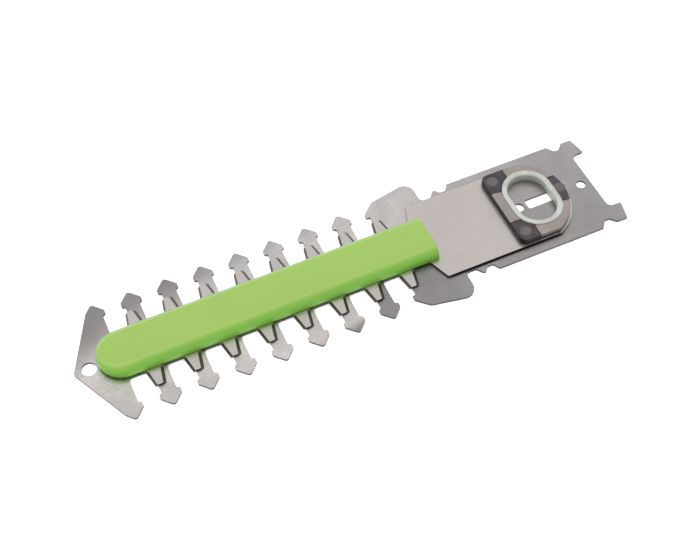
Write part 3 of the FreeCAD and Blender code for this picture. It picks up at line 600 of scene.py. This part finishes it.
finish_with(milky_nylon(), "cam_liner")
print("liner finish:", parts["cam_liner"].data.materials[0].name)

# %% [markdown]
# ## Spine cover
#
# The cover is one moulding: a long bar with a half round nose, soft upper edges and a square rear end. It could
# be swept along a path, but its nose is a true half cylinder, so it starts as a cylinder. The cylinder is cut in
# half, the open side is drawn out to the full length, and the upper edges are bevelled by a Bevel modifier. Its
# width follows a weight on each edge, because the slope is broad along the sides and thins out round the nose.
# The weight falls with the square of the turn: a quick fall right at the start folds the bevel over itself. The
# underside is inset and pushed up, which leaves a wall, and last the nose is bent down a little, because the
# moulding falls away there.

# %% Cover sizes
cover_low, cover_high = [Vector(corner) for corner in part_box("spine_cover")]
cover_half = 10.3 * MM
cover_nose = 199.1 * MM
cover_rear = cover_low.x
cover_bottom, cover_top = cover_low.z, cover_high.z
cover_slope = 3.5 * MM
nose_slope_share = 0.42
bend_length = 12.0 * MM
bend_fall = 0.33 * MM
cover_wall = 2.6 * MM
cover_roof = 1.6 * MM
rear_round = 0.6 * MM
bend_cuts = 7
same_place = 1e-6
merge_gap = 1e-7
print("cover", round((cover_high.x - cover_low.x) / MM, 1), "mm long,",
      round((cover_top - cover_bottom) / MM, 2), "mm high")


# %% Model the cover
def select_where(mesh, kind, chosen):
    """Select the mesh's vertices, edges or faces for which chosen is true. Done in object mode."""
    bpy.ops.object.mode_set(mode="EDIT")
    bpy.ops.mesh.select_mode(type={"vertices": "VERT", "edges": "EDGE", "polygons": "FACE"}[kind])
    bpy.ops.mesh.select_all(action="DESELECT")
    bpy.ops.object.mode_set(mode="OBJECT")
    count = 0
    for item in getattr(mesh, kind):
        item.select = chosen(item)
        count += item.select
    bpy.ops.object.mode_set(mode="EDIT")
    return count


def make_cover():
    """Half cylinder, drawn out, rounded, hollowed and bent down at the nose."""
    deselect()
    depth = cover_top - cover_bottom
    bpy.ops.mesh.primitive_cylinder_add(vertices=96, radius=cover_half, depth=depth,
                                        location=(cover_nose, 0.0, cover_bottom + depth / 2))
    cover = bpy.context.object
    cover.name = "moulded_cover"
    apply_place(cover)
    mesh = cover.data
    bpy.ops.object.mode_set(mode="EDIT")
    bpy.ops.mesh.select_all(action="SELECT")
    bpy.ops.mesh.bisect(plane_co=(cover_nose, 0.0, 0.0), plane_no=(1.0, 0.0, 0.0), clear_inner=True,
                        threshold=merge_gap)
    bpy.ops.object.mode_set(mode="OBJECT")

    def ends_of(edge):
        return [mesh.vertices[i].co for i in edge.vertices]

    def cut_rim(edge):
        return all(abs(end.x - cover_nose) < same_place for end in ends_of(edge))

    print("open rim:", select_where(mesh, "edges", cut_rim), "edges")
    bpy.ops.mesh.extrude_region_move(TRANSFORM_OT_translate={"value": (cover_rear - cover_nose, 0.0, 0.0)})
    bpy.ops.mesh.edge_face_add()
    bpy.ops.mesh.select_all(action="SELECT")
    bpy.ops.mesh.remove_doubles(threshold=same_place)
    bpy.ops.mesh.dissolve_limited(angle_limit=math.radians(0.5))
    bpy.ops.mesh.normals_make_consistent(inside=False)
    bpy.ops.object.mode_set(mode="OBJECT")

    def upper_rim(edge):
        ends = ends_of(edge)
        at_top = all(abs(end.z - cover_top) < same_place for end in ends)
        outside = all(end.x > cover_nose + same_place or abs(abs(end.y) - cover_half) < same_place
                      for end in ends)
        return at_top and outside and not all(abs(end.x - cover_rear) < same_place for end in ends)

    def slope_share(edge):
        """1 along the sides, down to nose_slope_share at the tip of the nose."""
        middle = sum(ends_of(edge), Vector()) / 2
        turn = max(0.0, middle.x - cover_nose) / cover_half
        return 1.0 - (1.0 - nose_slope_share) * turn ** 2

    weights = mesh.attributes.new("bevel_weight_edge", "FLOAT", "EDGE")
    for edge in mesh.edges:
        weights.data[edge.index].value = slope_share(edge) if upper_rim(edge) else 0.0
    slope = cover.modifiers.new("slope", "BEVEL")
    slope.limit_method, slope.width, slope.segments, slope.profile = "WEIGHT", cover_slope, 12, 0.42
    slope.use_clamp_overlap = False
    bpy.ops.object.modifier_apply(modifier="slope")

    def underside(face):
        return face.normal.z < -0.99

    print("underside:", select_where(mesh, "polygons", underside), "face")
    bpy.ops.mesh.inset(thickness=cover_wall)
    bpy.ops.mesh.extrude_region_move(TRANSFORM_OT_translate={"value": (0.0, 0.0, depth - cover_roof)})
    bpy.ops.object.mode_set(mode="OBJECT")

    def rear_rim(edge):
        return all(abs(end.x - cover_rear) < same_place and end.z > cover_bottom + same_place
                   for end in ends_of(edge))

    print("rear rim:", select_where(mesh, "edges", rear_rim), "edges")
    bpy.ops.mesh.bevel(offset=rear_round, offset_type="OFFSET", segments=4, profile=0.5, clamp_overlap=False)
    for cut in range(bend_cuts):
        bpy.ops.mesh.select_all(action="SELECT")
        bpy.ops.mesh.bisect(plane_co=(cover_nose - bend_length * (1 - cut / bend_cuts), 0.0, 0.0),
                            plane_no=(1.0, 0.0, 0.0), threshold=merge_gap)
    bpy.ops.object.mode_set(mode="OBJECT")
    for point in mesh.vertices:
        along = max(0.0, (point.co.x - cover_nose) / bend_length + 1)
        fall = along ** 2 if along < 1 else 2 * along - 1
        point.co.z -= bend_fall * fall * (point.co.z - cover_bottom) / depth
    return cover


cover = make_cover()
print("cover has", len(cover.data.vertices), "points")


# %% Moulded plastic
def moulded_plastic():
    """Satin yellow green plastic with a painted sheen where it lies flat, a painted highlight along the crease,
    and the fine skin of an eroded mould.
    """
    material, tree, shader, place = start_material("cover_finish")
    marks = use_group(tree, handling_marks, Size=0.03)
    side_green, painted_sheen_green = (0.155, 0.375, 0.034), (0.235, 0.365, 0.075)
    painted_highlight_green, cloud_green = (0.31, 0.48, 0.11), (0.24, 0.46, 0.07)
    lean = outward(tree, "Normal", "Z")
    # Painted sheen: the flat top is paler than the sloping sides.
    colour = blend(tree, fade(tree, lean, 0.68, 0.93), side_green, painted_sheen_green)
    # A painted highlight along the crease where the slope meets the top.
    painted_crease_highlight = maths(tree, "MULTIPLY", fade(tree, lean, 0.84, 0.94), fade(tree, lean, 0.97, 0.998, 1.0, 0.0))
    colour = blend(tree, maths(tree, "MULTIPLY", painted_crease_highlight, 0.25), colour, painted_highlight_green)
    colour = blend(tree, maths(tree, "MULTIPLY", marks["Clouds"], 0.10), colour, cloud_green)
    tree.links.new(colour, shader.inputs["Base Color"])
    tree.links.new(fade(tree, marks["Mottle"], 0.0, 1.0, 0.36, 0.44), shader.inputs["Roughness"])
    shader.inputs["Subsurface Weight"].default_value = 0.08
    shader.inputs["Subsurface Radius"].default_value = (0.0006, 0.0012, 0.0003)
    shader.inputs["Subsurface Scale"].default_value = 1.0
    skin = add(tree, "ShaderNodeTexNoise", {"Vector": place, "Scale": 5000.0, "Detail": 2.0}).outputs[0]
    bump = add(tree, "ShaderNodeBump", {"Strength": 0.06, "Distance": 0.00002, "Height": skin})
    tree.links.new(bump.outputs[0], shader.inputs["Normal"])
    return material


cover_finish = moulded_plastic()
cover.data.materials.append(cover_finish)
finish_with(cover_finish, "spine_cover")
deselect()
cover.select_set(True)
bpy.context.view_layer.objects.active = cover
bpy.ops.object.shade_smooth_by_angle(angle=math.radians(40))
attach(cover, "comb")
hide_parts("spine_cover")
print("cover finish:", cover.data.materials[0].name)

# %% [markdown]
# ## Floor finish
#
# The floor is the seamless paper of a studio: almost white, quite rough, with a very faint mottle. Such paper is
# often lit from behind as well, which a little emission stands for: it keeps the soft shadows faint.

# %% Paper floor
def paper():
    """Plain pale paper."""
    material, tree, shader, place = start_material("paper_finish")
    noise = add(tree, "ShaderNodeTexNoise", {"Vector": place, "Scale": 40.0, "Detail": 2.0}).outputs[0]
    tree.links.new(blend(tree, noise, (0.95, 0.95, 0.95), (0.97, 0.97, 0.97)), shader.inputs["Base Color"])
    shader.inputs["Roughness"].default_value = 0.9
    shader.inputs["Specular IOR Level"].default_value = 0.1
    shader.inputs["Emission Color"].default_value = (1.0, 1.0, 1.0, 1.0)
    shader.inputs["Emission Strength"].default_value = 0.30
    return material


floor.data.materials.append(paper())
print("floor finish:", floor.data.materials[0].name)
